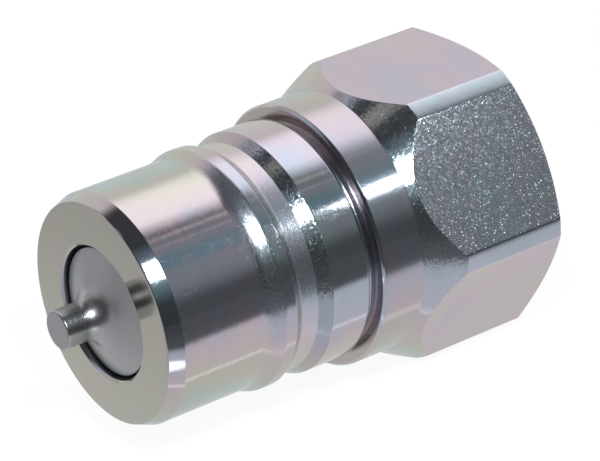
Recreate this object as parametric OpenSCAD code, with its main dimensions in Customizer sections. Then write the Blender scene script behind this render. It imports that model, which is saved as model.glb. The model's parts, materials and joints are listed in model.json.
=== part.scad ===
// Poppet nipple (male half) of a 1/2 inch quick-release fluid coupling.
// The axis runs along X, from the nose at -X to the threaded port at +X, and one
// hexagon flat faces straight down. The origin is on the axis, in the plane of the
// nose face, where the two coupling halves meet. Turned sections are drawn as
// [radius, distance behind the nose face].

/* [Probe] */
// Diameter of the smooth probe that enters the socket half
probe_d = 23.5; // [22.5:0.1:24.5]
// Length of the probe, from the nose face to the locking ramp
probe_len = 11.35; // [9:0.05:14]
// Length of the nose taper
nose_taper_len = 1.6; // [0.5:0.1:2.5]
// Radial depth of the nose taper
nose_taper_h = 0.6; // [0.2:0.05:0.8]
// Opening in the nose face
mouth_d = 13.6; // [13.4:0.1:14.4]
// Bevel at the edge of the nose opening
mouth_bevel = 0.2; // [0.1:0.05:0.4]
// Straight length of the nose opening, ahead of the valve seat
mouth_len = 1.6; // [1.4:0.05:1.9]

/* [Locking rim and ball groove] */
// Height of the locking rim above the probe
rim_h = 0.58; // [0.3:0.02:0.9]
// Length of the ramp that lifts the locking balls
ramp_len = 1.45; // [1:0.05:2]
// Width of the rim's land
rim_w = 1.25; // [0.8:0.05:2]
// Length of the flank that falls from the rim into the groove
flank_len = 1; // [0.6:0.05:1.4]
// Depth of the groove's floor below the probe
floor_drop = 0.07; // [0:0.01:0.4]
// Width of the groove's flat floor
floor_w = 1.95; // [1.5:0.05:3]
// Length of the cone between the groove and the collar
cone_len = 1.3; // [0.8:0.05:2]

/* [Collar] */
// Height of the collar above the probe
collar_h = 0.66; // [0.4:0.02:0.9]
// Width of the collar
collar_w = 4.4; // [3.4:0.05:6]
// Rounding of the collar's rear edge
collar_round = 0.4; // [0.2:0.05:0.6]
// Width of the round-bottomed relief behind the collar
relief_w = 0.85; // [0.5:0.05:1.2]
// Depth of the relief below the collar
relief_h = 0.95; // [0.7:0.05:1.5]

/* [Shoulder and hexagon] */
// Diameter of the shoulder ahead of the hexagon
shoulder_d = 27; // [26.4:0.1:27.8]
// Length of the shoulder
shoulder_len = 4.8; // [3.6:0.1:6]
// Bevel at the shoulder's front edge
shoulder_bevel = 0.25; // [0.1:0.05:0.5]
// Hexagon, across flats
hex_af = 28; // [27.8:0.1:30]
// Diameter across the turned corners of the hexagon
hex_corner_d = 31.3; // [30:0.1:32]
// Length of the cone between the shoulder and the full hexagon
hex_cone_len = 3.7; // [2.5:0.1:4.5]
// Length of the full hexagon
hex_len = 11.7; // [10:0.1:16]
// Length of the turned chamfer at the rear of the hexagon
rear_cone_len = 1.4; // [0.8:0.1:2]
// Diameter of the flat rear face
rear_face_d = 26; // [24.6:0.1:27.4]

/* [Rear port] */
// Thread diameter of the female port (G 1/2)
port_d = 20.955; // [20.5:0.005:21.5]
// Depth of the port's thread
port_depth = 14; // [10:0.1:15]
// Chamfer at the port's mouth
port_chamfer = 0.9; // [0.5:0.1:1.2]

/* [Valve chamber] */
// Diameter of the valve chamber
chamber_d = 17.4; // [17:0.1:17.8]
// Angle of the valve seat from the axis
seat_angle = 45; // [40:1:50]
// Distance from the nose face to the valve guide's shoulder
guide_at = 22.6; // [20.5:0.1:23.5]
// Bore that holds the valve guide
guide_bore_d = 18.4; // [18.2:0.1:18.6]

/* [Poppet] */
// Radial gap between the poppet's front disc and the nose opening
disc_gap = 0.35; // [0.2:0.05:0.6]
// Depth of the disc's rim behind the nose face
disc_recess = 0.6; // [0.3:0.05:0.8]
// Thickness of the disc's rim
disc_rim_t = 0.9; // [0.6:0.05:1]
// Diameter of the operating pin
pin_d = 3.9; // [3:0.1:5]
// Length of pin that stands out of the nose face
pin_out = 4.95; // [4:0.05:6]
// Bevel at the pin's tip
pin_bevel = 0.15; // [0.05:0.05:0.4]
// Fillet radius between the pin and the disc
pin_fillet = 2.5; // [1:0.1:3]
// Slope of the disc's dished front, measured from its plane
dish_angle = 20; // [12:1:24]
// Height of the flange above the seal in front of it
flange_lip = 0.25; // [0.1:0.05:0.5]
// Thickness of the flange
flange_t = 1.4; // [1:0.1:2]
// Length of the boss that centres the spring
boss_len = 1.6; // [1:0.1:2.4]
// Diameter of the front part of the stem
neck_d = 6.6; // [5.8:0.1:7]
// Diameter of the stem where it runs in the guide
stem_d = 5; // [4:0.1:5.4]
// Length of stem behind the guide when the valve is shut
stem_tail = 1.2; // [0.5:0.1:2]
// Opening travel of the poppet
travel = 5.5; // [4:0.1:6.5]
// Gap left between the neck and the guide at full travel
travel_gap = 0.3; // [0.2:0.05:0.6]

/* [Poppet seal] */
// Section of the sealing ring
seal_d = 1.6; // [1.4:0.05:1.7]
// Gap between the resting seal and the seat
seal_gap = 0.05; // [0.03:0.01:0.1]
// Gap between the ring and the walls of its groove
groove_gap = 0.03; // [0.01:0.01:0.1]

/* [Valve spring] */
// Wire of the valve spring
wire_d = 1.2; // [1:0.05:1.3]
// Outer diameter of the spring
spring_d = 12.8; // [12.4:0.1:13.4]
// Open turns of the spring
open_turns = 5; // [4:0.5:6]
// Closed turns at each end
end_turns = 1; // [0.75:0.25:1]
// Gap between the spring and the faces it rests on
spring_gap = 0.02; // [0.01:0.01:0.1]
// Radial gap between the spring and the boss inside it
boss_fit = 0.2; // [0.1:0.05:0.4]

/* [Valve guide] */
// Thickness of the guide's rim and arms
guide_t = 2; // [1.5:0.1:2.6]
// Radial width of the guide's rim
guide_rim_w = 1.3; // [1:0.1:1.8]
// Width of the guide's arms
arm_w = 2.4; // [1.6:0.1:3.2]
// Number of arms
arms = 3; // [3:1:4]
// Diameter of the guide's hub
hub_d = 8.2; // [7.6:0.1:9]
// Length of the hub ahead of the rim
hub_front = 2.5; // [1:0.1:3]
// Length of the hub behind the rim
hub_rear = 1; // [0.5:0.1:2]
// Radial running clearance of the stem in the hub
run_fit = 0.05; // [0.03:0.01:0.1]
// Radial gap of the guide in its bore
guide_fit = 0.05; // [0.03:0.01:0.1]

/* [Retaining ring] */
// Thickness of the ring
ring_t = 1; // [0.8:0.05:1.2]
// Depth of its groove in the bore
ring_groove_h = 0.5; // [0.4:0.05:0.6]
// Gap between the ring and the floor and walls of its groove
ring_gap = 0.04; // [0.02:0.01:0.1]
// Radial width opposite the opening
ring_wide = 1.9; // [1.6:0.1:2.2]
// Radial width beside the lugs
ring_narrow = 1.2; // [1:0.1:1.4]
// Diameter of the lugs
lug_d = 3.2; // [2.8:0.1:3.6]
// Diameter of the plier holes
lug_hole_d = 1.4; // [1:0.1:1.6]
// Angle between the two lugs
lug_angle = 44; // [38:1:50]

/* [Hidden] */
$fn = 96;
eps = 0.01;

// Stations along the axis, counted from the nose face
ramp_end = probe_len + ramp_len;
rim_end = ramp_end + rim_w;
floor_start = rim_end + flank_len;
cone_start = floor_start + floor_w;
collar_start = cone_start + cone_len;
collar_end = collar_start + collar_w;
shoulder_start = collar_end + relief_w;
hex_cone_start = shoulder_start + shoulder_len;
hex_start = hex_cone_start + hex_cone_len;
rear_cone_start = hex_start + hex_len;
total_len = rear_cone_start + rear_cone_len;

// Radii of the body
probe_r = probe_d / 2;
collar_r = probe_r + collar_h;
shoulder_r = shoulder_d / 2;
mouth_r = mouth_d / 2;
chamber_r = chamber_d / 2;
guide_bore_r = guide_bore_d / 2;
port_r = port_d / 2;

// Bores of the body
seat_end = mouth_len + (chamber_r - mouth_r) / tan(seat_angle);
guide_end = guide_at + guide_t;
port_start = total_len - port_depth;
ring_groove_end = guide_end + ring_t + 2 * ring_gap;

// Poppet: the seal's section lies against the seat, and the rest follows from it
seal_r = seal_d / 2;
seal_x = disc_recess + disc_rim_t + groove_gap + seal_r;
seal_ring_r = mouth_r + (seal_x - mouth_len) * tan(seat_angle)
    - (seal_r + seal_gap) / cos(seat_angle);
groove_start = disc_recess + disc_rim_t;
groove_end = seal_x + seal_r + groove_gap;
flange_end = groove_end + flange_t;
flange_r = seal_ring_r + seal_r + flange_lip;
pin_r = pin_d / 2;
disc_r = mouth_r - disc_gap;
fillet_r = pin_r + pin_fillet;
dish_r = fillet_r - pin_fillet * sin(dish_angle);
dish_x = disc_recess - (disc_r - dish_r) * tan(dish_angle);
fillet_x = dish_x - pin_fillet * cos(dish_angle);
boss_r = spring_d / 2 - wire_d - boss_fit;
hub_start = guide_at - hub_front;
hub_end = guide_end + hub_rear;
neck_end = hub_start - travel - travel_gap;

// Spring: the wire's centre runs between the flange and the guide
spring_start = flange_end + spring_gap;
spring_end = guide_at - spring_gap;
coil_r = (spring_d - wire_d) / 2;
wire_steps = 24;
wire_sides = 8;

// Turns a half section about the X axis
module turned() {
    rotate([0, 90, 0])
        rotate_extrude()
            children();
}

// Cylinder along X from one station to another
module bore(from, to, radius) {
    translate([from, 0, 0])
        rotate([0, 90, 0])
            cylinder(h = to - from, r = radius);
}

// Sliver outside a quarter circle, which rounds the outer rear corner of a section
module round_rear_corner(radius, station, size) {
    translate([radius - size, station - size])
        difference() {
            square(size + eps);
            circle(r = size);
        }
}

// Outer half section of the body, as turned
module body_outline() {
    difference() {
        polygon([
            [0, 0],
            [probe_r - nose_taper_h, 0],
            [probe_r, nose_taper_len],
            [probe_r, probe_len],
            [probe_r + rim_h, ramp_end],
            [probe_r + rim_h, rim_end],
            [probe_r - floor_drop, floor_start],
            [probe_r - floor_drop, cone_start],
            [collar_r, collar_start],
            [collar_r, collar_end],
            [collar_r - relief_h + relief_w / 2, collar_end],
            [collar_r - relief_h + relief_w / 2, shoulder_start],
            [shoulder_r - shoulder_bevel, shoulder_start],
            [shoulder_r, shoulder_start + shoulder_bevel],
            [shoulder_r, hex_cone_start],
            [hex_corner_d / 2, hex_start],
            [hex_corner_d / 2, rear_cone_start],
            [rear_face_d / 2, total_len],
            [0, total_len]
        ]);
        translate([collar_r - relief_h + relief_w / 2, collar_end + relief_w / 2])
            circle(d = relief_w);
        round_rear_corner(collar_r, collar_end, collar_round);
    }
}

// Half section of everything bored out of the body
module body_bores() {
    polygon([
        [0, -eps],
        [mouth_r + mouth_bevel + eps, -eps],
        [mouth_r, mouth_bevel],
        [mouth_r, mouth_len],
        [chamber_r, seat_end],
        [chamber_r, guide_at],
        [guide_bore_r, guide_at],
        [guide_bore_r, guide_end],
        [guide_bore_r + ring_groove_h, guide_end],
        [guide_bore_r + ring_groove_h, ring_groove_end],
        [guide_bore_r, ring_groove_end],
        [guide_bore_r, port_start - (port_r - guide_bore_r)],
        [port_r, port_start],
        [port_r, total_len - port_chamfer],
        [port_r + port_chamfer + eps, total_len + eps],
        [0, total_len + eps]
    ]);
}

// Body: drawn hexagon bar, turned outside and bored from both ends
module nipple_body() {
    color("Silver")
        difference() {
            intersection() {
                rotate([0, 90, 0])
                    rotate([0, 0, 30])
                        cylinder(h = total_len, d = hex_af / cos(30), $fn = 6);
                turned()
                    body_outline();
            }
            turned()
                body_bores();
        }
}

// Poppet: pin and dished disc in front, seal groove, flange, spring boss and stem
module poppet() {
    color("DarkGray")
        turned()
            difference() {
                polygon([
                    [0, -pin_out],
                    [pin_r - pin_bevel, -pin_out],
                    [pin_r, -pin_out + pin_bevel],
                    [pin_r, fillet_x],
                    [dish_r, dish_x],
                    [disc_r, disc_recess],
                    [disc_r, groove_start],
                    [seal_ring_r - seal_r - groove_gap, groove_start],
                    [seal_ring_r - seal_r - groove_gap, groove_end],
                    [flange_r, groove_end],
                    [flange_r, flange_end],
                    [boss_r, flange_end],
                    [boss_r, flange_end + boss_len],
                    [neck_d / 2, flange_end + boss_len + boss_r - neck_d / 2],
                    [neck_d / 2, neck_end],
                    [stem_d / 2, neck_end],
                    [stem_d / 2, hub_end + stem_tail],
                    [0, hub_end + stem_tail]
                ]);
                translate([fillet_r, fillet_x])
                    circle(r = pin_fillet);
            }
}

// Rubber ring in the poppet's groove
module poppet_seal() {
    color("DimGray")
        turned()
            translate([seal_ring_r, seal_x])
                circle(r = seal_r);
}

// Distance along the spring at each turn: closed, open, closed
function coil_station(turn) =
    let (open_rise = spring_end - spring_start - wire_d - 2 * end_turns * wire_d)
    turn < end_turns ? turn * wire_d
    : turn < end_turns + open_turns
        ? end_turns * wire_d + open_rise * (turn - end_turns) / open_turns
        : end_turns * wire_d + open_rise + (turn - end_turns - open_turns) * wire_d;

// Valve spring: one round wire swept along its coil
module valve_spring() {
    steps = round((open_turns + 2 * end_turns) * wire_steps);
    points = [
        for (i = [0 : steps])
            let (turn = i / wire_steps)
            for (j = [0 : wire_sides - 1])
                let (
                    side = 360 * j / wire_sides,
                    radius = coil_r + wire_d / 2 * cos(side),
                    station = spring_start + wire_d / 2 + coil_station(turn) + wire_d / 2 * sin(side)
                )
                [station, radius * cos(360 * turn), radius * sin(360 * turn)]
    ];
    walls = [
        for (i = [0 : steps - 1], j = [0 : wire_sides - 1])
            let (
                near = i * wire_sides,
                far = near + wire_sides,
                next = (j + 1) % wire_sides
            )
            [near + j, near + next, far + next, far + j]
    ];
    front_cap = [for (j = [wire_sides - 1 : -1 : 0]) j];
    rear_cap = [for (j = [0 : wire_sides - 1]) steps * wire_sides + j];
    color("LightSteelBlue")
        polyhedron(points = points, faces = concat([front_cap], walls, [rear_cap]));
}

// Valve guide: rim, arms and a hub in which the stem runs
module valve_guide() {
    rim_r = guide_bore_r - guide_fit;
    color("Gainsboro")
        difference() {
            union() {
                difference() {
                    bore(guide_at, guide_end, rim_r);
                    bore(guide_at - eps, guide_end + eps, rim_r - guide_rim_w);
                }
                bore(hub_start, hub_end, hub_d / 2);
                for (i = [0 : arms - 1])
                    rotate([360 * i / arms, 0, 0])
                        translate([guide_at, -arm_w / 2, 0])
                            cube([guide_t, arm_w, rim_r - guide_rim_w / 2]);
            }
            bore(hub_start - eps, hub_end + eps, stem_d / 2 + run_fit);
        }
}

// Retaining ring: an open spring-steel ring with two lugs for pliers
module retaining_ring() {
    outer_r = guide_bore_r + ring_groove_h - ring_gap;
    inner_r = outer_r - (ring_wide + ring_narrow) / 2;
    offset_z = (ring_wide - ring_narrow) / 2;
    lug_r = outer_r - ring_groove_h - ring_gap - lug_d / 2;
    start = guide_end + ring_gap;
    color("SlateGray")
        difference() {
            union() {
                difference() {
                    bore(start, start + ring_t, outer_r);
                    translate([0, 0, offset_z])
                        bore(start - eps, start + ring_t + eps, inner_r);
                }
                for (side = [-1, 1])
                    rotate([side * lug_angle / 2, 0, 0])
                        translate([0, 0, lug_r])
                            bore(start, start + ring_t, lug_d / 2);
            }
            for (side = [-1, 1])
                rotate([side * lug_angle / 2, 0, 0])
                    translate([0, 0, lug_r])
                        bore(start - eps, start + ring_t + eps, lug_hole_d / 2);
            translate([start - eps, 0, 0])
                rotate([90, 0, 90])
                    linear_extrude(height = ring_t + 2 * eps)
                        polygon([
                            [0, 0],
                            [-outer_r * sin(lug_angle / 4), outer_r * 1.2],
                            [outer_r * sin(lug_angle / 4), outer_r * 1.2]
                        ]);
        }
}

nipple_body();
poppet();
poppet_seal();
valve_spring();
valve_guide();
retaining_ring();
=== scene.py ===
import json
import logging
import math
from collections.abc import Callable, Sequence
from dataclasses import dataclass, field
from enum import Enum

import bmesh
import bpy
import numpy as np
from mathutils import Matrix, Vector

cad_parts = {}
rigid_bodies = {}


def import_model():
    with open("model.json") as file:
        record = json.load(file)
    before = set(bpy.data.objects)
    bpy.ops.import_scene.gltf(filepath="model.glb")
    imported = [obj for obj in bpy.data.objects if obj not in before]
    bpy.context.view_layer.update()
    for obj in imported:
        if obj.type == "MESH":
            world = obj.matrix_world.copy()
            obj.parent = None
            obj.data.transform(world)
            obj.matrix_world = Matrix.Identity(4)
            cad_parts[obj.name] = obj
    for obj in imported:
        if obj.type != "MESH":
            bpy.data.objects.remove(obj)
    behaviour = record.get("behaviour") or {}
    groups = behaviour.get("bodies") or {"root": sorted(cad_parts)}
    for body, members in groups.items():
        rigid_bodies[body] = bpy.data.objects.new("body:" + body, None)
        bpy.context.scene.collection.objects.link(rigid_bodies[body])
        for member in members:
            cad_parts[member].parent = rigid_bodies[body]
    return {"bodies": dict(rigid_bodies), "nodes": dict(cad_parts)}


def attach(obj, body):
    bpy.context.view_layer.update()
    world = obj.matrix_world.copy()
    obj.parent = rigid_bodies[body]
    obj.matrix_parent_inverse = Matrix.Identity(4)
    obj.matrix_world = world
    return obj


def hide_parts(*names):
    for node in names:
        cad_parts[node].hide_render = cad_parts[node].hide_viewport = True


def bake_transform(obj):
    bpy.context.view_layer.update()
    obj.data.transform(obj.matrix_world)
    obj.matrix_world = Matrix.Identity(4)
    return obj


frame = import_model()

log = logging.getLogger("nipple")
MM = 0.001
SKIN = ("film", "grain", "shade", "matt")
Socket = bpy.types.NodeSocket
Colour = tuple[float, float, float, float]


class Body(Enum):
    """The two moving bodies of the coupling half."""

    SHELL = "body"
    VALVE = "valve"


class Slot(Enum):
    """The material slots that the record names."""

    PLATED = "plated_steel"
    TURNED = "turned_steel"
    RUBBER = "black_rubber"
    WIRE = "spring_steel"
    STAMPED = "stamped_steel"
    PHOSPHATED = "phosphated_steel"


# ---------------------------------------------------------------- sections


@dataclass(frozen=True)
class Corner:
    """A corner of a turned section, with what its surface carries onward.

    Sizes are in millimetres. The surface ahead of the corner has film as its step
    in plating thickness, grain as how far it sparkles, shade as painted shade and light,
    a factor on its colour that darkens some bands below 1 and lightens others above 1,
    and matt as how rough.
    """

    x: float
    r: float
    fillet: float = 0.0
    film: float = 0.0
    grain: float = 0.1
    shade: float = 1.0
    matt: float = 0.0

    @property
    def skin(self) -> tuple[float, float, float]:
        """What the surface ahead of the corner carries."""
        return (self.film, self.grain, self.shade, self.matt)


def section_points(
    corners: Sequence[Corner], steps: int = 3, support: float = 0.12
) -> np.ndarray:
    """Rounds a closed section and adds support points beside each corner.

    Args:
        corners: The corners in order; the last runs back to the first.
        steps: Segments in each small rounding.
        support: Distance of the support points from a rounding, in mm.

    Returns:
        Rows of station, radius, film, grain, shade and matt. A section that starts and
        ends on the axis stays open there.
    """
    rows: list[tuple[float, ...]] = []
    count = len(corners)
    for i, corner in enumerate(corners):
        if corner.r == 0.0:
            rows.append((corner.x, 0.0, *corner.skin))
            continue
        before, after = corners[i - 1], corners[(i + 1) % count]
        p = np.array((corner.x, corner.r))
        back = np.array((before.x, before.r)) - p
        ahead = np.array((after.x, after.r)) - p
        len_back, len_ahead = np.linalg.norm(back), np.linalg.norm(ahead)
        back, ahead = back / len_back, ahead / len_ahead
        half = 0.5 * math.acos(float(np.clip(back @ ahead, -1.0, 1.0)))
        reach = min(corner.fillet / math.tan(half), 0.46 * len_back, 0.46 * len_ahead)
        radius = reach * math.tan(half)
        side_back = min(reach + support, 0.49 * len_back)
        side_ahead = min(reach + support, 0.49 * len_ahead)
        rows.append((*(p + back * side_back), *before.skin))
        start, end = p + back * reach, p + ahead * reach
        if radius <= 1e-6:
            rows.append((*p, *corner.skin))
        else:
            centre = p + (back + ahead) / np.linalg.norm(back + ahead) * (
                radius / math.sin(half)
            )
            sweep = steps * (5 if radius > 1.0 else 2 if radius > 0.3 else 1)
            for k in range(sweep + 1):
                t = k / sweep
                way = (start - centre) * math.sin((1 - t) * (math.pi / 2 - half) * 2)
                way = way + (end - centre) * math.sin(t * (math.pi / 2 - half) * 2)
                way = way / np.linalg.norm(way) * radius
                skin = (a * (1 - t) + b * t for a, b in zip(before.skin, corner.skin))
                rows.append((*(centre + way), *skin))
        rows.append((*(p + ahead * side_ahead), *corner.skin))
    return np.array(rows)


def grid_mesh(name: str, columns: list[np.ndarray], angles: np.ndarray) -> bpy.types.Mesh:
    """Joins closed sections at the given angles about the X axis into a closed ring.

    Args:
        name: The mesh's name.
        columns: One array from section_points for each angle.
        angles: The angles about X, in radians, from +Z towards -Y.

    Returns:
        A mesh with point attributes film, grain, shade and matt, its faces outwards.
    """
    rows, turns = len(columns[0]), len(columns)
    stack = np.stack(columns)
    x, r = stack[..., 0] * MM, stack[..., 1] * MM
    y = -r * np.sin(angles)[:, None]
    z = r * np.cos(angles)[:, None]
    verts = np.stack((x, y, z), -1).reshape(-1, 3)
    i = np.arange(turns)[:, None] * rows
    open_section = bool(stack[0, 0, 1] == 0.0)
    j = np.arange(rows - 1 if open_section else rows)[None, :]
    i_next = (np.arange(turns)[:, None] + 1) % turns * rows
    j_next = (j + 1) % rows
    quads = np.stack((i + j, i + j_next, i_next + j_next, i_next + j), -1)
    mesh = bpy.data.meshes.new(name)
    mesh.from_pydata(verts.tolist(), [], quads.reshape(-1, 4).tolist())
    for column, key in enumerate(SKIN, 2):
        values = mesh.attributes.new(key, "FLOAT", "POINT")
        values.data.foreach_set("value", stack[..., column].astype(np.float32).ravel())
    outwards(mesh)
    return mesh


def outwards(mesh: bpy.types.Mesh, sharp: float = 32.0) -> None:
    """Turns a closed mesh's faces outwards and shades it smooth up to an angle.

    Args:
        mesh: The mesh, whose doubled points are merged first.
        sharp: The angle in degrees past which an edge stays crisp.
    """
    work = bmesh.new()
    work.from_mesh(mesh)
    bmesh.ops.remove_doubles(work, verts=work.verts, dist=1e-7)
    bmesh.ops.recalc_face_normals(work, faces=work.faces)
    work.to_mesh(mesh)
    work.free()
    mesh.shade_smooth()
    mesh.set_sharp_from_angle(angle=math.radians(sharp))
    mesh.update()


def coat(mesh: bpy.types.Mesh, skin: Corner) -> None:
    """Gives a whole mesh one corner's film, grain, shade and matt.

    Args:
        mesh: The mesh.
        skin: The corner whose values it takes.
    """
    for key, value in zip(SKIN, skin.skin):
        values = mesh.attributes.new(key, "FLOAT", "POINT")
        values.data.foreach_set("value", [value] * len(mesh.vertices))


def revolve(name: str, corners: Sequence[Corner], turns: int = 192) -> bpy.types.Mesh:
    """Turns a closed section about the X axis.

    Args:
        name: The mesh's name.
        corners: The section's corners.
        turns: How many columns go round.

    Returns:
        The mesh, closed, its faces outwards.
    """
    points = section_points(corners)
    angles = np.linspace(0, 2 * math.pi, turns, endpoint=False)
    return grid_mesh(name, [points] * turns, angles)


def place(
    name: str,
    mesh: bpy.types.Mesh,
    finish: bpy.types.Material,
    body: Body,
    nodes: Sequence[str] = (),
) -> bpy.types.Object:
    """Puts a finished mesh in the scene and tells the frame about it.

    Args:
        name: The piece's name.
        mesh: Its mesh, in place.
        finish: Its material.
        body: The body that it rides on.
        nodes: The CAD nodes that it stands for.

    Returns:
        The object.
    """
    obj = bpy.data.objects.new(name, mesh)
    bpy.context.scene.collection.objects.link(obj)
    mesh.materials.clear()
    mesh.materials.append(finish)
    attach(obj, body.value)
    if nodes:
        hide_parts(*nodes)
    log.info("%s: %d faces on %s", name, len(mesh.polygons), body.value)
    return obj


# ---------------------------------------------------------------- node helpers


def linear(value: float) -> float:
    """One 0-255 display value as linear light."""
    return value / 255 / 12.92 if value <= 10 else ((value / 255 + 0.055) / 1.055) ** 2.4


def srgb(red: float, green: float, blue: float) -> Colour:
    """Turns 0-255 display values into linear RGBA."""
    return (linear(red), linear(green), linear(blue), 1.0)


@dataclass
class Wiring:
    """A node tree being wired, with short ways to add its nodes."""

    tree: bpy.types.NodeTree

    def node(self, kind: str, **settings: object) -> bpy.types.Node:
        """Adds a node; settings are its properties."""
        made = self.tree.nodes.new(kind)
        for key, value in settings.items():
            setattr(made, key, value)
        return made

    def link(self, source: Socket, target: Socket) -> None:
        """Joins two sockets."""
        self.tree.links.new(source, target)

    def feed(self, value: object, target: Socket) -> None:
        """Links a socket, or sets a plain value."""
        if isinstance(value, Socket):
            self.link(value, target)
        else:
            target.default_value = value

    def math(self, operation: str, a: object, b: object = 0.0, clamp: bool = False) -> Socket:
        """One Math node's result."""
        made = self.node("ShaderNodeMath", operation=operation, use_clamp=clamp)
        self.feed(a, made.inputs[0])
        self.feed(b, made.inputs[1])
        return made.outputs[0]

    def plus(self, a: object, b: object) -> Socket:
        """a + b."""
        return self.math("ADD", a, b)

    def minus(self, a: object, b: object) -> Socket:
        """a - b."""
        return self.math("SUBTRACT", a, b)

    def times(self, a: object, b: object) -> Socket:
        """a * b."""
        return self.math("MULTIPLY", a, b)

    def over(self, a: object, b: object) -> Socket:
        """a / b."""
        return self.math("DIVIDE", a, b)

    def span(
        self,
        value: object,
        low: float,
        high: float,
        to_low: float = 0.0,
        to_high: float = 1.0,
        smooth: bool = True,
    ) -> Socket:
        """Maps a value's range to another, clamped.

        Args:
            value: The value.
            low: Its low end.
            high: Its high end.
            to_low: The result at the low end.
            to_high: The result at the high end.
            smooth: Whether the ends are eased.

        Returns:
            The result.
        """
        made = self.node(
            "ShaderNodeMapRange", interpolation_type="SMOOTHSTEP" if smooth else "LINEAR"
        )
        self.feed(value, made.inputs["Value"])
        made.inputs["From Min"].default_value = low
        made.inputs["From Max"].default_value = high
        made.inputs["To Min"].default_value = to_low
        made.inputs["To Max"].default_value = to_high
        return made.outputs["Result"]

    def noise(
        self, vector: object, scale: object, detail: float = 2.0, roughness: float = 0.5
    ) -> Socket:
        """A noise texture's value."""
        made = self.node("ShaderNodeTexNoise")
        self.feed(vector, made.inputs["Vector"])
        self.feed(scale, made.inputs["Scale"])
        made.inputs["Detail"].default_value = detail
        made.inputs["Roughness"].default_value = roughness
        return made.outputs["Fac"]

    def vector(self, operation: str, a: object, b: object = None) -> bpy.types.Node:
        """A Vector Math node, fed with one or two values."""
        made = self.node("ShaderNodeVectorMath", operation=operation)
        self.feed(a, made.inputs[0])
        if b is not None:
            self.feed(b, made.inputs["Scale" if operation == "SCALE" else 1])
        return made

    def parts(self, vector: Socket) -> bpy.types.bpy_prop_collection:
        """A vector's X, Y and Z."""
        made = self.node("ShaderNodeSeparateXYZ")
        self.link(vector, made.inputs[0])
        return made.outputs

    def bump(self, height: Socket, shader: bpy.types.Node) -> None:
        """Feeds a height, in metres, to a shader's Normal."""
        made = self.node("ShaderNodeBump")
        made.inputs["Distance"].default_value = 1.0
        self.link(height, made.inputs["Height"])
        self.link(made.outputs["Normal"], shader.inputs["Normal"])

    def rays(self) -> tuple[Socket, Socket]:
        """What the camera sees itself, and what it sees in metal or glass."""
        seen = self.node("ShaderNodeLightPath").outputs
        shiny = self.math("MAXIMUM", seen["Is Glossy Ray"], seen["Is Transmission Ray"])
        return seen["Is Camera Ray"], shiny

    def scaled(self, vector: Socket, scale: tuple[float, float, float]) -> Socket:
        """A vector stretched by a Mapping node."""
        made = self.node("ShaderNodeMapping")
        self.link(vector, made.inputs["Vector"])
        made.inputs["Scale"].default_value = scale
        return made.outputs["Vector"]

    def ramp(self, value: object, stops: Sequence[tuple[float, Colour]]) -> Socket:
        """A colour ramp.

        Args:
            value: Where on the ramp to look, 0 to 1.
            stops: Each stop's place and colour, in order.

        Returns:
            The colour.
        """
        made = self.node("ShaderNodeValToRGB")
        self.feed(value, made.inputs["Fac"])
        elements = made.color_ramp.elements
        while len(elements) > 1:
            elements.remove(elements[-1])
        elements[0].position, elements[0].color = stops[0]
        for position, colour in stops[1:]:
            elements.new(position).color = colour
        return made.outputs["Color"]


class GroupKind(Enum):
    """The shader node groups that the finishes share."""

    SPARKLE = "grain_sparkle"
    LATHE = "lathe_lines"
    FILM = "plating_film"
    BEADS = "bead_texture"


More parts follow.
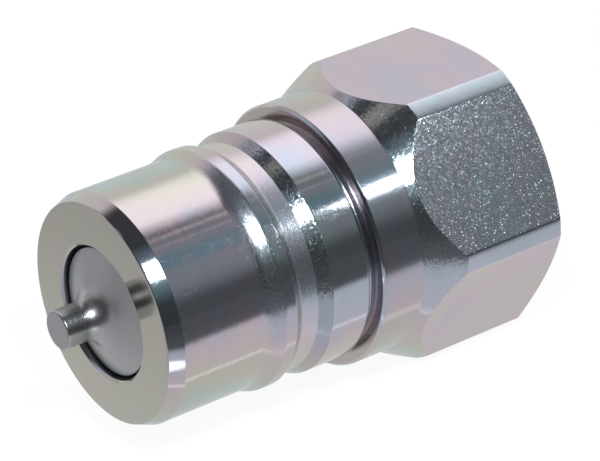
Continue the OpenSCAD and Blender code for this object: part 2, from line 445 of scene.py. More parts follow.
@dataclass
class EffectLibrary:
    """Builds each shared shader group once and hands it out."""

    made: dict[GroupKind, bpy.types.NodeTree] = field(default_factory=dict)

    def get(self, kind: GroupKind) -> bpy.types.NodeTree:
        """The group of that kind, built at its first use."""
        if kind not in self.made:
            builders: dict[GroupKind, Callable[[Wiring], None]] = {
                GroupKind.SPARKLE: self.sparkle,
                GroupKind.LATHE: self.lathe,
                GroupKind.FILM: self.film,
                GroupKind.BEADS: self.beads,
            }
            tree = bpy.data.node_groups.new(kind.value, "ShaderNodeTree")
            builders[kind](Wiring(tree))
            self.made[kind] = tree
        return self.made[kind]

    @staticmethod
    def sockets(wiring: Wiring, inputs: dict[str, float | None], outputs: dict[str, str]) -> tuple[
        bpy.types.Node, bpy.types.Node
    ]:
        """Declares a group's sockets.

        Args:
            wiring: The group's wiring.
            inputs: Each input's name and plain value; None makes it a vector.
            outputs: Each output's name and socket kind.

        Returns:
            The group's input node and output node.
        """
        face = wiring.tree.interface
        for name, value in inputs.items():
            kind = "NodeSocketVector" if value is None else "NodeSocketFloat"
            made = face.new_socket(name=name, in_out="INPUT", socket_type=kind)
            if value is not None:
                made.default_value = value
        for name, kind in outputs.items():
            face.new_socket(name=name, in_out="OUTPUT", socket_type=kind)
        return wiring.node("NodeGroupInput"), wiring.node("NodeGroupOutput")

    def sparkle(self, w: Wiring) -> None:
        """Crystalline grain: cells that lean at random, some of them flat."""
        inp, out = self.sockets(
            w,
            {"Vector": None, "Scale": 3300.0, "Lean": 0.4, "Share": 0.6},
            {"Height": "NodeSocketFloat", "Mask": "NodeSocketFloat"},
        )
        cells = w.node("ShaderNodeTexVoronoi", feature="F1", distance="EUCLIDEAN")
        w.link(inp.outputs["Vector"], cells.inputs["Vector"])
        w.link(inp.outputs["Scale"], cells.inputs["Scale"])
        offset = w.vector("SUBTRACT", inp.outputs["Vector"], cells.outputs["Position"])
        lean = w.vector("SUBTRACT", cells.outputs["Color"], (0.5, 0.5, 0.5))
        slope = w.vector("DOT_PRODUCT", offset.outputs[0], lean.outputs[0])
        pick = w.node("ShaderNodeTexWhiteNoise", noise_dimensions="3D")
        w.link(cells.outputs["Position"], pick.inputs["Vector"])
        chosen = w.math("LESS_THAN", pick.outputs["Value"], inp.outputs["Share"])
        tilt = w.times(w.times(slope.outputs["Value"], 2.0), inp.outputs["Lean"])
        w.link(w.times(tilt, chosen), out.inputs["Height"])
        w.link(w.times(pick.outputs["Value"], chosen), out.inputs["Mask"])

    def beads(self, w: Wiring) -> None:
        """Small round grains of uneven size standing on a dull ground."""
        inp, out = self.sockets(
            w,
            {"Vector": None, "Scale": 3000.0},
            {"Height": "NodeSocketFloat", "Mask": "NodeSocketFloat"},
        )
        cells = w.node("ShaderNodeTexVoronoi", feature="F1", distance="EUCLIDEAN")
        w.link(inp.outputs["Vector"], cells.inputs["Vector"])
        w.link(inp.outputs["Scale"], cells.inputs["Scale"])
        size = w.node("ShaderNodeTexWhiteNoise", noise_dimensions="3D")
        w.link(cells.outputs["Position"], size.inputs["Vector"])
        reach = w.span(size.outputs["Value"], 0.0, 1.0, 0.1, 0.36, smooth=False)
        near = w.math("SUBTRACT", 1.0, w.over(cells.outputs["Distance"], reach), clamp=True)
        bead = w.math("POWER", near, 0.6)
        w.link(w.over(bead, inp.outputs["Scale"]), out.inputs["Height"])
        w.link(bead, out.inputs["Mask"])

    def lathe(self, w: Wiring) -> None:
        """Tool lines: ridges that run round the axis, uneven from one to the next."""
        inp, out = self.sockets(
            w,
            {"Vector": None, "Along": 1.0, "Across": 0.0, "Lines": 9000.0},
            {"Height": "NodeSocketFloat"},
        )
        parts = w.parts(inp.outputs["Vector"])
        y2 = w.times(parts["Y"], parts["Y"])
        z2 = w.times(parts["Z"], parts["Z"])
        radius = w.math("SQRT", w.plus(y2, z2))
        along = w.times(parts["X"], inp.outputs["Along"])
        across = w.times(radius, inp.outputs["Across"])
        line = w.node("ShaderNodeCombineXYZ")
        w.link(w.plus(along, across), line.inputs["X"])
        wander = w.noise(inp.outputs["Vector"], 90.0, 1.0)
        w.link(w.times(wander, 0.00002), line.inputs["Y"])
        coarse = w.noise(line.outputs[0], inp.outputs["Lines"], 2.0, 0.65)
        w.link(coarse, out.inputs["Height"])

    def film(self, w: Wiring) -> None:
        """How thick the passivation film is from place to place."""
        inp, out = self.sockets(
            w,
            {"Vector": None, "Base": 0.0, "Spread": 0.12},
            {"Phase": "NodeSocketFloat", "Blotch": "NodeSocketFloat"},
        )
        stretched = w.scaled(inp.outputs["Vector"], (2.2, 1.0, 1.0))
        wide = w.noise(stretched, 110.0, 3.0, 0.55)
        small = w.noise(inp.outputs["Vector"], 700.0, 2.0, 0.6)
        lean = w.times(w.minus(wide, 0.5), inp.outputs["Spread"])
        fine = w.times(w.minus(small, 0.5), w.times(inp.outputs["Spread"], 0.12))
        w.link(w.plus(w.plus(lean, fine), inp.outputs["Base"]), out.inputs["Phase"])
        w.link(wide, out.inputs["Blotch"])


EFFECTS = EffectLibrary()


def group(w: Wiring, kind: GroupKind, **inputs: object) -> bpy.types.Node:
    """Places a shared group in a material.

    Args:
        w: The material's wiring.
        kind: Which group.
        inputs: Its inputs, as sockets or plain values.

    Returns:
        The group's node.
    """
    made = w.node("ShaderNodeGroup", node_tree=EFFECTS.get(kind))
    for name, value in inputs.items():
        w.feed(value, made.inputs[name])
    return made


def new_material(name: str) -> tuple[bpy.types.Material, Wiring, bpy.types.Node, Socket]:
    """A material with its shader and Object coordinates ready.

    Returns:
        The material, its wiring, the Principled shader and the coordinates.
    """
    material = bpy.data.materials.new(name)
    material.use_nodes = True
    w = Wiring(material.node_tree)
    w.tree.nodes.clear()
    shader = w.node("ShaderNodeBsdfPrincipled")
    end = w.node("ShaderNodeOutputMaterial")
    w.link(shader.outputs[0], end.inputs["Surface"])
    where = w.node("ShaderNodeTexCoord").outputs["Object"]
    return material, w, shader, where


# ---------------------------------------------------------------- finishes

FILM_ORDER = 1.3
FILM_COLOURS: tuple[tuple[float, Colour], ...] = (
    (0.04, srgb(182, 201, 202)),
    (0.16, srgb(186, 201, 198)),
    (0.23, srgb(191, 203, 193)),
    (0.33, srgb(201, 200, 190)),
    (0.43, srgb(204, 199, 191)),
    (0.53, srgb(206, 197, 198)),
    (0.60, srgb(206, 195, 201)),
    (0.66, srgb(203, 192, 204)),
    (0.72, srgb(197, 194, 209)),
    (0.80, srgb(189, 195, 211)),
    (0.87, srgb(182, 193, 206)),
    (0.94, srgb(181, 187, 199)),
    (1.02, srgb(176, 196, 202)),
    (1.10, srgb(184, 190, 196)),
    (1.25, srgb(200, 196, 186)),
)


@dataclass(frozen=True)
class ZincPlating:
    """Bright zinc with a thin iridescent passivation film."""

    name: str = "zinc_plating"
    roughness: float = 0.065
    spread: float = 0.5
    cell: float = 6600.0
    lean: float = 0.36
    lines: float = 0.000004
    beads: float = 3000.0

    def build(self) -> bpy.types.Material:
        """Wires the material."""
        material, w, shader, where = new_material(self.name)
        skin = {
            key: w.node("ShaderNodeAttribute", attribute_name=key).outputs["Fac"]
            for key in SKIN
        }
        phase = group(w, GroupKind.FILM, Vector=where, Base=skin["film"], Spread=self.spread)
        facing = w.node("ShaderNodeLayerWeight")
        facing.inputs["Blend"].default_value = 0.5
        toward = w.minus(1.0, facing.outputs["Facing"])
        order = w.over(w.plus(toward, phase.outputs["Phase"]), FILM_ORDER)
        stops = [(at / FILM_ORDER, colour) for at, colour in FILM_COLOURS]
        # Painted shade and light: the film colour is scaled band by band by the shade attribute.
        shaded_film_colour = w.vector("SCALE", w.ramp(order, stops), skin["shade"])
        bead = group(w, GroupKind.BEADS, Vector=where, Scale=self.beads)
        beaded = w.span(skin["grain"], 0.4, 0.8)
        # Painted glints: the beads' mask lightens the base colour where the grain is high.
        painted_glint = w.times(w.times(bead.outputs["Mask"], beaded), 1.1)
        lit = w.vector("SCALE", shaded_film_colour.outputs[0], w.plus(1.0, painted_glint))
        w.link(lit.outputs[0], shader.inputs["Base Color"])
        speck = group(
            w, GroupKind.SPARKLE, Vector=where, Scale=self.cell, Lean=self.lean, Share=0.7
        )
        rings = group(w, GroupKind.LATHE, Vector=where, Along=1.0, Across=1.0, Lines=7000.0)
        dull = w.times(w.times(speck.outputs["Mask"], skin["grain"]), 0.3)
        haze = w.times(phase.outputs["Blotch"], 0.04)
        polish = w.plus(w.plus(haze, self.roughness), skin["matt"])
        w.link(w.plus(polish, dull), shader.inputs["Roughness"])
        facets = w.times(skin["grain"], w.minus(1.0, w.times(beaded, 0.75)))
        height = w.times(speck.outputs["Height"], facets)
        height = w.plus(height, w.times(w.times(bead.outputs["Height"], beaded), 0.2))
        deep = w.plus(w.times(skin["matt"], 14.0), 1.0)
        turned = w.times(w.times(rings.outputs["Height"], self.lines), deep)
        w.bump(w.plus(height, turned), shader)
        shader.inputs["Metallic"].default_value = 1.0
        return material


@dataclass(frozen=True)
class TurnedSteel:
    """Satin steel straight from the lathe, its tool lines running round."""

    name: str = "turned_steel"
    colour: Colour = srgb(188, 189, 193)
    roughness: float = 0.24
    lines: float = 8200.0
    depth: float = 0.000006

    def build(self) -> bpy.types.Material:
        """Wires the material."""
        material, w, shader, where = new_material(self.name)
        rings = group(w, GroupKind.LATHE, Vector=where, Along=1.0, Across=1.0, Lines=self.lines)
        speck = group(w, GroupKind.SPARKLE, Vector=where, Scale=3600.0, Lean=0.1)
        tone = w.node("ShaderNodeMix", data_type="RGBA")
        w.link(rings.outputs["Height"], tone.inputs["Factor"])
        tone.inputs["A"].default_value = tuple(0.82 * c for c in self.colour[:3]) + (1.0,)
        tone.inputs["B"].default_value = tuple(
            min(1.0, 1.14 * c) for c in self.colour[:3]
        ) + (1.0,)
        w.link(tone.outputs["Result"], shader.inputs["Base Color"])
        matt = w.node("ShaderNodeAttribute", attribute_name="matt").outputs["Fac"]
        haze = w.plus(w.times(speck.outputs["Mask"], 0.05), matt)
        w.link(w.plus(haze, self.roughness), shader.inputs["Roughness"])
        height = w.times(rings.outputs["Height"], self.depth)
        w.bump(height, shader)
        shader.inputs["Metallic"].default_value = 1.0
        return material


@dataclass(frozen=True)
class MouldedRubber:
    """Black nitrile with a fine moulded skin."""

    name: str = "moulded_rubber"

    def build(self) -> bpy.types.Material:
        """Wires the material."""
        material, w, shader, where = new_material(self.name)
        skin = w.noise(where, 2600.0, 3.0, 0.6)
        w.link(
            w.ramp(skin, ((0.3, srgb(16, 16, 17)), (0.7, srgb(26, 26, 27)))),
            shader.inputs["Base Color"],
        )
        w.link(w.span(skin, 0.3, 0.7, 0.42, 0.6), shader.inputs["Roughness"])
        w.bump(w.times(skin, 0.00001), shader)
        return material


@dataclass(frozen=True)
class PlainMetal:
    """Drawn, stamped or phosphated steel, told apart by tone and grain."""

    name: str
    dark: Colour
    light: Colour
    roughness: float
    grain: float = 2400.0
    metallic: float = 1.0

    def build(self) -> bpy.types.Material:
        """Wires the material."""
        material, w, shader, where = new_material(self.name)
        blotch = w.noise(where, 420.0, 4.0, 0.6)
        w.link(
            w.ramp(blotch, ((0.3, self.dark), (0.72, self.light))), shader.inputs["Base Color"]
        )
        speck = group(w, GroupKind.SPARKLE, Vector=where, Scale=self.grain, Lean=0.15)
        w.link(
            w.plus(w.times(speck.outputs["Mask"], 0.12), self.roughness),
            shader.inputs["Roughness"],
        )
        w.bump(speck.outputs["Height"], shader)
        shader.inputs["Metallic"].default_value = self.metallic
        return material


# ---------------------------------------------------------------- body


@dataclass
class CouplingBody:
    """The one-piece body: hexagon bar, turned outside and bored from both ends."""

    probe_r: float = 11.75
    hex_flat_r: float = 14.0
    hex_corner_r: float = 15.645
    shoulder_r: float = 13.5
    hex_cone_at: float = 28.35
    hex_at: float = 32.05
    rear_cone_at: float = 43.75
    length: float = 45.15
    rear_face_r: float = 13.0
    corner_ease: float = 0.02
    frosted_at: float = math.pi / 3

    def turned_part(self) -> list[Corner]:
        """The corners from the nose opening to the shoulder's end."""
        # A corner's seventh value, shade, is painted shade and light: 1.1 lightens the groove
        # floor, 0.86 darkens the cone rising to the collar, 0.9 darkens the relief groove's rear
        # wall and 0.93 the shoulder.
        return [
            Corner(0.0, 7.0, 0.05, -0.1, 0.0, matt=0.01),
            Corner(0.0, 11.15, 0.16, -0.02, 0.006),
            Corner(1.6, 11.75, 0.14, -0.1, 0.03),
            Corner(11.2, 11.75, 3.2, 0.0, 0.12, matt=0.13),
            Corner(12.8, 12.33, 0.9, 0.1, 0.03, matt=0.04),
            Corner(14.05, 12.33, 0.12, 0.42, 0.05, matt=0.12),
            Corner(15.05, 11.68, 0.3, 0.05, 0.06, 1.1, 0.18),
            Corner(17.0, 11.68, 0.2, 0.05, 0.17, 0.86, 0.04),
            Corner(18.3, 12.41, 0.12, 0.12, 0.015),
            Corner(22.7, 12.41, 0.2, 0.05, 0.06, 1.0, 0.08),
            Corner(22.7, 11.46, 0.36, 0.05, 0.05, 1.0, 0.08),
            Corner(23.55, 11.46, 0.36, 0.05, 0.05, 0.9, 0.08),
            Corner(23.55, 13.25, 0.03, 0.05, 0.0),
            Corner(23.8, 13.5, 0.05, 0.02, 0.01, 0.93, 0.07),
        ]

    def bored_part(self) -> list[Corner]:
        """The corners from the rear face back through the bore to the nose."""
        dull = {"film": 0.3, "grain": 0.1, "matt": 0.2}
        return [
            Corner(45.15, 11.3775, 0.05, **dull),
            Corner(44.25, 10.4775, 0.04, **dull),
            Corner(31.15, 10.4775, 0.04, **dull),
            Corner(29.8725, 9.2, 0.04, **dull),
            Corner(25.68, 9.2, 0.03, **dull),
            Corner(25.68, 9.7, 0.03, **dull),
            Corner(24.6, 9.7, 0.03, **dull),
            Corner(24.6, 9.2, 0.03, **dull),
            Corner(22.6, 9.2, 0.03, **dull),
            Corner(22.6, 8.7, 0.03, **dull),
            Corner(3.5, 8.7, 0.05, **dull),
            Corner(1.6, 6.8, 0.05, **dull),
            Corner(0.2, 6.8, 0.03, -0.1, 0.05),
        ]

    def angles(self) -> np.ndarray:
        """Angles about the axis, closer together at the hexagon's corners."""
        edge = math.degrees(math.acos(self.hex_flat_r / self.hex_corner_r))
        half = [
            *np.arange(0.0, edge - 0.9, 1.6),
            edge - 0.6,
            edge - 0.2,
            edge,
            edge + 0.2,
            edge + 0.6,
            28.4,
        ]
        sector = [-a for a in reversed(half[1:])] + half + [30.0]
        turn = [60.0 * k + a for k in range(6) for a in sector]
        return np.radians(np.array(turn))

    def reach(self, angle: float) -> float:
        """The bar's radius: flats, with the corners turned down.

        Args:
            angle: The angle about the axis, in radians from the top flat's middle.

        Returns:
            The radius in mm, eased a little where flat and corner meet.
        """
        from_flat = (angle + math.pi / 6) % (math.pi / 3) - math.pi / 6
        flat, land, soft = self.hex_flat_r / math.cos(
            from_flat
        ), self.hex_corner_r, self.corner_ease
        low = min(flat, land)
        return low - soft * math.log(
            math.exp((low - flat) / soft) + math.exp((low - land) / soft)
        )

    def column(self, angle: float) -> np.ndarray:
        """The body's closed section at one angle."""
        reach = self.reach(angle)
        flat = min(1.0, max(0.0, (self.hex_corner_r - 0.03 - reach) / 0.05))
        slope = (self.hex_at - self.hex_cone_at) / (self.hex_corner_r - self.shoulder_r)
        front = self.hex_cone_at + (reach - self.shoulder_r) * slope
        fall = (self.length - self.rear_cone_at) / (self.hex_corner_r - self.rear_face_r)
        rear = self.rear_cone_at + (self.hex_corner_r - reach) * fall
        frosted = abs(angle - self.frosted_at) < math.pi / 6
        grain = 0.02 + (0.85 if frosted else 0.03) * flat
        hexagon = [
            Corner(self.hex_cone_at, self.shoulder_r, 0.2, 0.04, 0.1, 1.0, 0.03),
            # Shade 1.06 is painted light that lightens the hexagon's flats.
            Corner(front, reach, 0.22, 0.1 if frosted else 0.22, grain, 1.06, 0.1 * flat),
            Corner(rear, reach, 0.12, 0.15, 0.1),
            Corner(self.length, self.rear_face_r, 0.12, 0.0, 0.1),
        ]
        return section_points([*self.turned_part(), *hexagon, *self.bored_part()])

    def build(self, finish: bpy.types.Material) -> bpy.types.Object:
        """Builds the body and dresses it.

        Args:
            finish: The plating.

        Returns:
            The object.
        """
        angles = self.angles()
        mesh = grid_mesh("coupling_body", [self.column(a) for a in angles], angles)
        return place("coupling_body", mesh, finish, Body.SHELL, ["nipple_body"])


# ---------------------------------------------------------------- valve


@dataclass
class Poppet:
    """Pin, dished disc, seal groove, flange, spring boss and stem in one turning."""

    def corners(self) -> list[Corner]:
        """The poppet's half section, closed along the axis."""
        return [
            Corner(-4.95, 0.0, matt=0.12),
            Corner(-4.95, 1.95, 0.16),
            Corner(-1.038, 1.95, 2.5, matt=0.1),
            Corner(0.6, 6.45, 0.1, matt=0.1),
            Corner(1.5, 6.45, 0.05),
            Corner(1.5, 5.498, 0.03),
            Corner(3.16, 5.498, 0.03),
            Corner(3.16, 7.378, 0.04),
            Corner(4.56, 7.378, 0.06),
            Corner(4.56, 5.0, 0.05),
            Corner(6.16, 5.0, 0.08),
            Corner(7.86, 3.3, 0.2),
            Corner(14.3, 3.3, 0.08),
            Corner(14.3, 2.5, 0.05),
            Corner(26.8, 2.5, 0.2),
            Corner(26.8, 0.0),
        ]

    def build(self, steel: bpy.types.Material, rubber: bpy.types.Material) -> None:
        """Builds the poppet and its seal.

        Args:
            steel: The poppet's finish.
            rubber: The seal's finish.
        """
        place(
            "poppet_turned",
            revolve("poppet_turned", self.corners()),
            steel,
            Body.VALVE,
            ["poppet"],
        )
        centre_x, centre_r, radius = 2.33, 6.328, 0.8
        ring = [
            Corner(centre_x + radius * math.cos(a), centre_r + radius * math.sin(a))
            for a in np.linspace(0, 2 * math.pi, 20, endpoint=False)
        ]
        seal = grid_mesh(
            "seal_ring",
            [np.array([(c.x, c.r, *c.skin) for c in ring])] * 160,
            np.linspace(0, 2 * math.pi, 160, endpoint=False),
        )
        place("seal_ring", seal, rubber, Body.VALVE, ["poppet_seal"])


@dataclass
class GridForm:
    """A sheet of points that Geometry Nodes lays out by a rule and closes.

    Each point knows its step along the form and its share of the way round the
    cross section; a subclass turns those into stations and radii.
    """

    name: str
    steps: int
    around: int

    def sizes(self) -> dict[str, float]:
        """The tree's named inputs and their values, in metres."""
        raise NotImplementedError

    def rule(
        self, w: Wiring, inp: bpy.types.Node, step: Socket, turn_round: Socket
    ) -> tuple[Socket, Socket, Socket]:
        """Wires a point's place from the two shares that it knows.

        Args:
            w: The tree's wiring.
            inp: Its input node, with the named sizes.
            step: The point's step along the form.
            turn_round: Its share of the way round the cross section.

        Returns:
            Station, radius and angle about the axis.
        """
        raise NotImplementedError

    def mesh(self, finish: bpy.types.Material) -> bpy.types.Mesh:
        """Runs the tree and returns its closed mesh.

        Args:
            finish: The material that the tree sets.

        Returns:
            The mesh.
        """
        tree = bpy.data.node_groups.new(self.name + "_rule", "GeometryNodeTree")
        w = Wiring(tree)
        tree.interface.new_socket(
            name="Geometry", in_out="INPUT", socket_type="NodeSocketGeometry"
        )
        for key, value in self.sizes().items():
            made = tree.interface.new_socket(
                name=key, in_out="INPUT", socket_type="NodeSocketFloat"
            )
            made.default_value = value
        tree.interface.new_socket(
            name="Geometry", in_out="OUTPUT", socket_type="NodeSocketGeometry"
        )
        inp, out = w.node("NodeGroupInput"), w.node("NodeGroupOutput")
        sheet = w.node("GeometryNodeMeshGrid")
        sheet.inputs["Vertices X"].default_value = self.steps + 1
        sheet.inputs["Vertices Y"].default_value = self.around + 1
        index = w.node("GeometryNodeInputIndex").outputs["Index"]
        across = float(self.around + 1)
        step = w.math("FLOOR", w.over(w.plus(index, 0.5), across))
        side = w.minus(index, w.times(step, across))
        share = w.over(side, float(self.around))
        station, radius, angle = self.rule(w, inp, step, share)
        spot = w.node("ShaderNodeCombineXYZ")
        w.link(station, spot.inputs["X"])
        w.link(w.times(radius, w.math("COSINE", angle)), spot.inputs["Y"])
        w.link(w.times(radius, w.math("SINE", angle)), spot.inputs["Z"])
        move = w.node("GeometryNodeSetPosition")
        w.link(sheet.outputs["Mesh"], move.inputs["Geometry"])
        w.link(spot.outputs[0], move.inputs["Position"])
        close = w.node("GeometryNodeMergeByDistance")
        w.link(move.outputs["Geometry"], close.inputs["Geometry"])
        close.inputs["Distance"].default_value = 1e-6
        real = w.node("GeometryNodeRealizeInstances")
        w.link(close.outputs["Geometry"], real.inputs["Geometry"])
        dress = w.node("GeometryNodeSetMaterial")
        dress.inputs["Material"].default_value = finish
        w.link(real.outputs["Geometry"], dress.inputs["Geometry"])
        w.link(dress.outputs["Geometry"], out.inputs["Geometry"])
        return self.bake(tree)

    def bake(self, tree: bpy.types.NodeTree) -> bpy.types.Mesh:
        """Evaluates the tree on a throwaway object and keeps the plain mesh.

        Args:
            tree: The finished tree.

        Returns:
            The mesh, its faces outwards.
        """
        carrier = bpy.data.objects.new(self.name + "_carrier", bpy.data.meshes.new("carrier"))
        bpy.context.scene.collection.objects.link(carrier)
        modifier = carrier.modifiers.new("rule", "NODES")
        modifier.node_group = tree
        for item in tree.interface.items_tree:
            if item.in_out == "INPUT" and item.name in self.sizes():
                modifier[item.identifier] = self.sizes()[item.name]
        bpy.context.view_layer.update()
        ready = carrier.evaluated_get(bpy.context.evaluated_depsgraph_get())
        mesh = bpy.data.meshes.new_from_object(ready)
        mesh.name = self.name
        carrier.modifiers.remove(modifier)
        bpy.data.objects.remove(carrier)
        outwards(mesh, 40.0)
        return mesh


@dataclass
class ValveSpring(GridForm):
    """Round wire wound in open turns between closed end turns."""

    name: str = "valve_spring_wire"
    steps: int = 338
    around: int = 12
    coil_r: float = 5.8
    wire_r: float = 0.6
    start: float = 4.58
    end: float = 22.58
    open_turns: float = 5.0
    end_turns: float = 1.0

    def sizes(self) -> dict[str, float]:
        """The spring's sizes."""
        rise = self.end - self.start - 2 * self.wire_r - 4 * self.end_turns * self.wire_r
        return {
            "Coil radius": self.coil_r * MM,
            "Wire radius": self.wire_r * MM,
            "First station": (self.start + self.wire_r) * MM,
            "Open rise": rise * MM,
            "Open turns": self.open_turns,
            "End turns": self.end_turns,
        }

    def rule(
        self, w: Wiring, inp: bpy.types.Node, step: Socket, turn_round: Socket
    ) -> tuple[Socket, Socket, Socket]:
        """The wire's place at a step; the first and last steps close its ends."""
        last = float(self.steps)
        inner = w.math("MINIMUM", w.math("MAXIMUM", step, 1.0), last - 1.0)
        turns = w.plus(inp.outputs["Open turns"], w.times(inp.outputs["End turns"], 2.0))
        turn = w.times(w.over(w.minus(inner, 1.0), last - 2.0), turns)
        wire = w.times(inp.outputs["Wire radius"], 2.0)
        first = w.math("MINIMUM", turn, inp.outputs["End turns"])
        past = w.minus(turn, inp.outputs["End turns"])
        opened = w.math("MINIMUM", w.math("MAXIMUM", past, 0.0), inp.outputs["Open turns"])
        closed = w.math("MAXIMUM", w.minus(past, inp.outputs["Open turns"]), 0.0)
        ends = w.times(w.plus(first, closed), wire)
        climb = w.times(w.over(opened, inp.outputs["Open turns"]), inp.outputs["Open rise"])
        middle = w.plus(w.plus(ends, climb), inp.outputs["First station"])
        inside = w.times(
            w.math("GREATER_THAN", step, 0.5), w.math("LESS_THAN", step, last - 0.5)
        )
        thick = w.times(inp.outputs["Wire radius"], inside)
        tilt = w.times(turn_round, 2 * math.pi)
        station = w.plus(middle, w.times(thick, w.math("SINE", tilt)))
        radius = w.plus(inp.outputs["Coil radius"], w.times(thick, w.math("COSINE", tilt)))
        return station, radius, w.times(turn, 2 * math.pi)

    def build(self, finish: bpy.types.Material) -> None:
        """Winds the spring between the poppet and its guide."""
        mesh = self.mesh(finish)
        obj = bpy.data.objects.new(self.name, mesh)
        bpy.context.scene.collection.objects.link(obj)
        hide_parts("valve_spring")
        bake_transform(obj)
        log.info("%s: %d faces", self.name, len(mesh.polygons))


@dataclass
class PortThread(GridForm):
    """The port's pipe thread as one ridge that fades out at both ends."""

    name: str = "port_thread"
    steps: int = 560
    around: int = 12
    pitch: float = 1.814
    major_r: float = 10.4775
    depth: float = 1.162
    first: float = 31.95
    turns: float = 6.35

    def sizes(self) -> dict[str, float]:
        """The thread's sizes."""
        return {
            "Pitch": self.pitch * MM,
            "Major radius": self.major_r * MM,
            "Depth": self.depth * MM,
            "First station": self.first * MM,
            "Turns": self.turns,
        }

    def rule(
        self, w: Wiring, inp: bpy.types.Node, step: Socket, turn_round: Socket
    ) -> tuple[Socket, Socket, Socket]:
        """A 55 degree ridge with a rounded crest, sunk a little into the wall."""
        along = w.over(step, float(self.steps))
        turn = w.times(along, inp.outputs["Turns"])
        left = w.minus(inp.outputs["Turns"], turn)
        fade = w.times(w.span(turn, 0.0, 0.7), w.span(left, 0.0, 0.4))
        swing = w.math("SINE", w.times(turn_round, math.pi))
        wide = w.times(w.math("COSINE", w.times(turn_round, math.pi)), 0.42)
        crest = w.span(swing, 0.12, 0.93, -0.03, 1.0, smooth=False)
        station = w.times(w.times(wide, inp.outputs["Pitch"]), fade)
        station = w.plus(
            station, w.plus(inp.outputs["First station"], w.times(turn, inp.outputs["Pitch"]))
        )
        rise = w.times(w.times(crest, inp.outputs["Depth"]), fade)
        radius = w.minus(inp.outputs["Major radius"], rise)
        return station, radius, w.times(turn, 2 * math.pi)

    def build(self, finish: bpy.types.Material) -> None:
        """Cuts the thread into the port."""
        mesh = self.mesh(finish)
        coat(mesh, Corner(0.0, 0.0, film=0.3, matt=0.2))
        place(self.name, mesh, finish, Body.SHELL)


@dataclass
class FinishedBlank:
    """A stamped or cut part: its solid's faces, joined up and broken at the edges."""

    name: str
    node: str
    slot: Slot
    edge: float = 0.1

    def build(self, finish: bpy.types.Material) -> None:
        """Joins a copy of the solid's triangles, eases its edges and dresses it."""
        mesh = frame["nodes"][self.node].data.copy()
        mesh.name = self.name
        work = bmesh.new()
        work.from_mesh(mesh)
        bmesh.ops.remove_doubles(work, verts=work.verts, dist=2e-6)
        bmesh.ops.dissolve_limit(
            work, angle_limit=math.radians(0.6), verts=work.verts, edges=work.edges
        )
        bmesh.ops.recalc_face_normals(work, faces=work.faces)
        crisp = [
            e for e in work.edges if e.is_manifold and e.calc_face_angle() > math.radians(35)
        ]
        bmesh.ops.bevel(
            work,
            geom=crisp,
            offset=self.edge * MM,
            segments=2,
            profile=0.6,
            affect="EDGES",
            clamp_overlap=True,
        )
        bmesh.ops.triangulate(work, faces=[f for f in work.faces if len(f.verts) > 4])
        work.to_mesh(mesh)
        work.free()
        mesh.shade_smooth()
        mesh.set_sharp_from_angle(angle=math.radians(32))
        place(self.name, mesh, finish, Body.SHELL, [self.node])


# ---------------------------------------------------------------- studio


@dataclass(frozen=True)
class LightPatch:
    """A soft round patch of the room, as shiny surfaces see it."""

    direction: tuple[float, float, float]
    inner: float
    outer: float
    strength: float
    tint: tuple[float, float, float] = (1.0, 1.0, 1.0)


@dataclass(frozen=True)
class Lamp:
    """A softbox: where it stands, its two sides and its power in watts."""

    name: str
    at: tuple[float, float, float]
    size: tuple[float, float]
    power: float


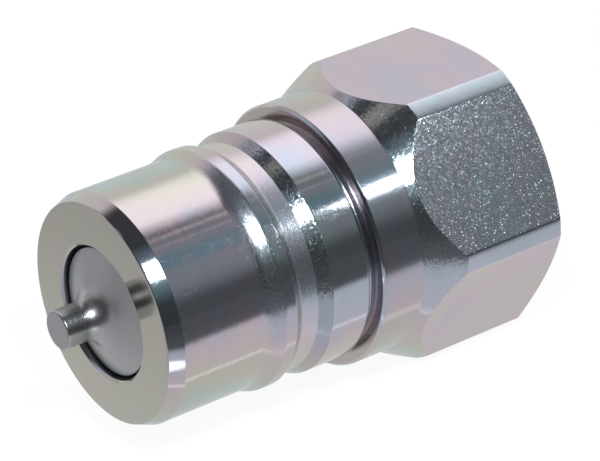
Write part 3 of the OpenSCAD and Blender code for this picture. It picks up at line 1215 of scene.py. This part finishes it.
@dataclass
class Studio:
    """Plain pale floor, a bright room behind, a dim one in front, and a softbox."""

    floor_z: float = -0.014
    floor_half: float = 3.0
    floor_tone: float = 0.9
    floor_edge: tuple[float, float] = (-0.05, -0.036)
    glow_stripe_y: float = -0.0165
    glint_at: tuple[float, float] = (-0.0035, -0.027)
    lamp_aim: tuple[float, float, float] = (0.018, 0.0, 0.0)
    patches: tuple[LightPatch, ...] = (
        LightPatch((0.5, 0.35, 0.79), 6.0, 28.0, 0.6),
        LightPatch((0.507, -0.543, 0.669), 12.0, 34.0, 0.2),
        LightPatch((0.483, -0.5, 0.719), 2.0, 8.0, 0.12, (-0.9, -0.1, 0.0)),
        LightPatch((0.497, -0.161, 0.853), 0.6, 2.6, 0.5, (1.0, 0.8, 0.66)),
        LightPatch((0.5, -0.29, 0.816), 0.3, 1.6, 0.34, (1.0, 0.72, 0.68)),
        LightPatch((-0.62, 0.7, 0.34), 10.0, 36.0, 0.5),
        LightPatch((-0.23, 0.6, 0.766), 3.0, 10.0, 0.5),
        LightPatch((-0.331, 0.176, 0.927), 2.0, 9.0, 0.4, (1.0, 0.9, 0.68)),
        LightPatch((-0.326, -0.613, 0.719), 4.0, 30.0, 0.2, (0.75, 1.0, 1.2)),
    )
    softboxes: tuple[Lamp, ...] = (
        Lamp("softbox", (-0.0134, -0.0635, 0.0739), (0.026, 0.024), 0.05),
        Lamp("small_softbox", (0.0575, -0.0445, 0.0445), (0.006, 0.006), 0.0025),
    )

    def world(self) -> None:
        """The room: white to the eye, brighter behind and to the right in metal."""
        world = bpy.data.worlds.new("room")
        bpy.context.scene.world = world
        world.use_nodes = True
        w = Wiring(world.node_tree)
        w.tree.nodes.clear()
        way = w.node("ShaderNodeTexCoord").outputs["Generated"]
        parts = w.parts(way)
        lean = w.plus(parts["Y"], w.times(parts["X"], 1.2))
        lean = w.plus(lean, w.times(parts["Z"], 0.1))
        level = w.span(lean, 0.53, 0.8, 0.0, 0.66)
        level = w.plus(level, w.span(parts["X"], -0.1, 0.5, 0.06, 0.1))
        base = w.node("ShaderNodeCombineXYZ")
        for socket in base.inputs:
            w.link(level, socket)
        colour = base.outputs[0]
        for patch in self.patches:
            dot = w.vector("DOT_PRODUCT", way, Vector(patch.direction).normalized())
            near = math.cos(math.radians(patch.inner))
            far = math.cos(math.radians(patch.outer))
            bright = w.span(dot.outputs["Value"], far, near, 0.0, patch.strength)
            glow = w.vector("SCALE", patch.tint, bright)
            colour = w.vector("ADD", colour, glow.outputs[0]).outputs[0]
        to_camera, shiny = w.rays()
        room = w.node("ShaderNodeMix", data_type="RGBA")
        w.link(shiny, room.inputs["Factor"])
        room.inputs["A"].default_value = (0.55, 0.55, 0.55, 1.0)
        w.link(colour, room.inputs["B"])
        white = w.node("ShaderNodeMix", data_type="RGBA")
        w.link(to_camera, white.inputs["Factor"])
        w.link(room.outputs["Result"], white.inputs["A"])
        white.inputs["B"].default_value = (1.0, 1.0, 1.0, 1.0)
        glow = w.node("ShaderNodeBackground")
        w.link(white.outputs["Result"], glow.inputs["Color"])
        w.link(glow.outputs[0], w.node("ShaderNodeOutputWorld").inputs["Surface"])

    def floor(self) -> None:
        """A wide pale floor that keeps a soft shadow; in the metal it shows painted light: a glow
        that dims towards the near side, a bright stripe along X and a glint spot.
        """
        mesh = bpy.data.meshes.new("floor")
        ends = ((-1, -1), (1, -1), (1, 1), (-1, 1))
        corners = [(a * self.floor_half, b * self.floor_half, self.floor_z) for a, b in ends]
        mesh.from_pydata(corners, [], [(0, 1, 2, 3)])
        material = bpy.data.materials.new("pale_floor")
        material.use_nodes = True
        w = Wiring(material.node_tree)
        w.tree.nodes.clear()
        where = w.node("ShaderNodeTexCoord").outputs["Object"]
        parts = w.parts(where)
        to_camera, shiny = w.rays()
        # Painted light seen only in the metal: the floor's glow dims towards the near side and the
        # left, with a bright stripe and a glint spot added.
        near = w.span(parts["Y"], *self.floor_edge, 0.1, 0.67)
        near = w.times(near, w.span(parts["X"], -0.03, 0.01, 0.68, 1.0))
        off_glow_stripe = w.math("ABSOLUTE", w.minus(parts["Y"], self.glow_stripe_y))
        near = w.plus(near, w.span(off_glow_stripe, 0.0003, 0.0008, 0.3, 0.0))
        glint = w.vector("DISTANCE", where, (*self.glint_at, self.floor_z))
        near = w.plus(near, w.span(glint.outputs["Value"], 0.003, 0.005, 1.4, 0.0))
        eye = w.times(to_camera, self.floor_tone)
        level = w.plus(eye, w.times(shiny, near))
        matt = w.node("ShaderNodeBsdfDiffuse")
        shade = w.node("ShaderNodeMix", data_type="RGBA")
        w.link(shiny, shade.inputs["Factor"])
        shade.inputs["A"].default_value = (0.18, 0.18, 0.18, 1.0)
        shade.inputs["B"].default_value = (0.03, 0.03, 0.03, 1.0)
        w.link(shade.outputs["Result"], matt.inputs["Color"])
        glow = w.node("ShaderNodeEmission")
        w.link(level, glow.inputs["Strength"])
        both = w.node("ShaderNodeAddShader")
        w.link(matt.outputs[0], both.inputs[0])
        w.link(glow.outputs[0], both.inputs[1])
        w.link(both.outputs[0], w.node("ShaderNodeOutputMaterial").inputs["Surface"])
        mesh.materials.append(material)
        obj = bpy.data.objects.new("floor", mesh)
        bpy.context.scene.collection.objects.link(obj)

    def lamps(self) -> None:
        """The softboxes, which the camera sees only in the metal."""
        for spec in self.softboxes:
            data = bpy.data.lights.new(spec.name, "AREA")
            data.shape = "RECTANGLE"
            data.size, data.size_y = spec.size
            data.energy = spec.power
            lamp = bpy.data.objects.new(spec.name, data)
            bpy.context.scene.collection.objects.link(lamp)
            lamp.visible_camera = False
            back = (Vector(spec.at) - Vector(self.lamp_aim)).normalized()
            side = Vector((0.0, 0.0, 1.0)).cross(back).normalized()
            turn = Matrix((side, back.cross(side), back)).transposed().to_4x4()
            lamp.matrix_world = Matrix.Translation(spec.at) @ turn

    def camera(self) -> None:
        """The camera, at the product view's angle and distance."""
        data = bpy.data.cameras.new("camera")
        data.sensor_width = 36.0
        data.lens = 209.0
        data.shift_x = -0.00366
        data.shift_y = 0.00248
        data.clip_start = 0.01
        data.clip_end = 20.0
        camera = bpy.data.objects.new("camera", data)
        bpy.context.scene.collection.objects.link(camera)
        right = Vector((0.80241484, -0.59452595, -0.0516655))
        up = Vector((0.31122989, 0.34304027, 0.88626144))
        back = -Vector((0.50918207, 0.72722918, -0.46029484))
        turn = Matrix((right, up, back)).transposed().to_4x4()
        camera.matrix_world = Matrix.Translation((-0.15041734, -0.24879417, 0.15787402)) @ turn
        bpy.context.scene.camera = camera

    def build(self) -> None:
        """Sets the stage."""
        bpy.context.scene.view_settings.view_transform = "Standard"
        self.world()
        self.floor()
        self.lamps()
        self.camera()
        log.info("studio ready")


def clear_startup() -> None:
    """Removes what a fresh Blender file holds beside the frame."""
    keep = set(frame["nodes"].values()) | set(frame["bodies"].values())
    for obj in list(bpy.data.objects):
        if obj not in keep:
            bpy.data.objects.remove(obj)


def main() -> None:
    """Builds the coupling half in order, then the studio."""
    logging.basicConfig(level=logging.INFO, format="%(name)s: %(message)s")
    clear_startup()
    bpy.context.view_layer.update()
    plating = ZincPlating().build()
    turned = TurnedSteel().build()
    rubber = MouldedRubber().build()
    drawn = PlainMetal("drawn_wire", srgb(120, 122, 126), srgb(150, 152, 156), 0.28).build()
    stamped = PlainMetal(
        "stamped_guide", srgb(140, 142, 144), srgb(172, 172, 170), 0.34
    ).build()
    phosphate = PlainMetal(
        "phosphated_ring", srgb(38, 40, 42), srgb(58, 60, 62), 0.5, metallic=0.7
    ).build()
    CouplingBody().build(plating)
    Poppet().build(turned, rubber)
    ValveSpring().build(drawn)
    PortThread().build(plating)
    FinishedBlank("valve_guide_stamping", "valve_guide", Slot.STAMPED).build(stamped)
    FinishedBlank(
        "retaining_ring_blank", "retaining_ring", Slot.PHOSPHATED, 0.08
    ).build(phosphate)
    Studio().build()


if __name__ == "__main__":
    main()
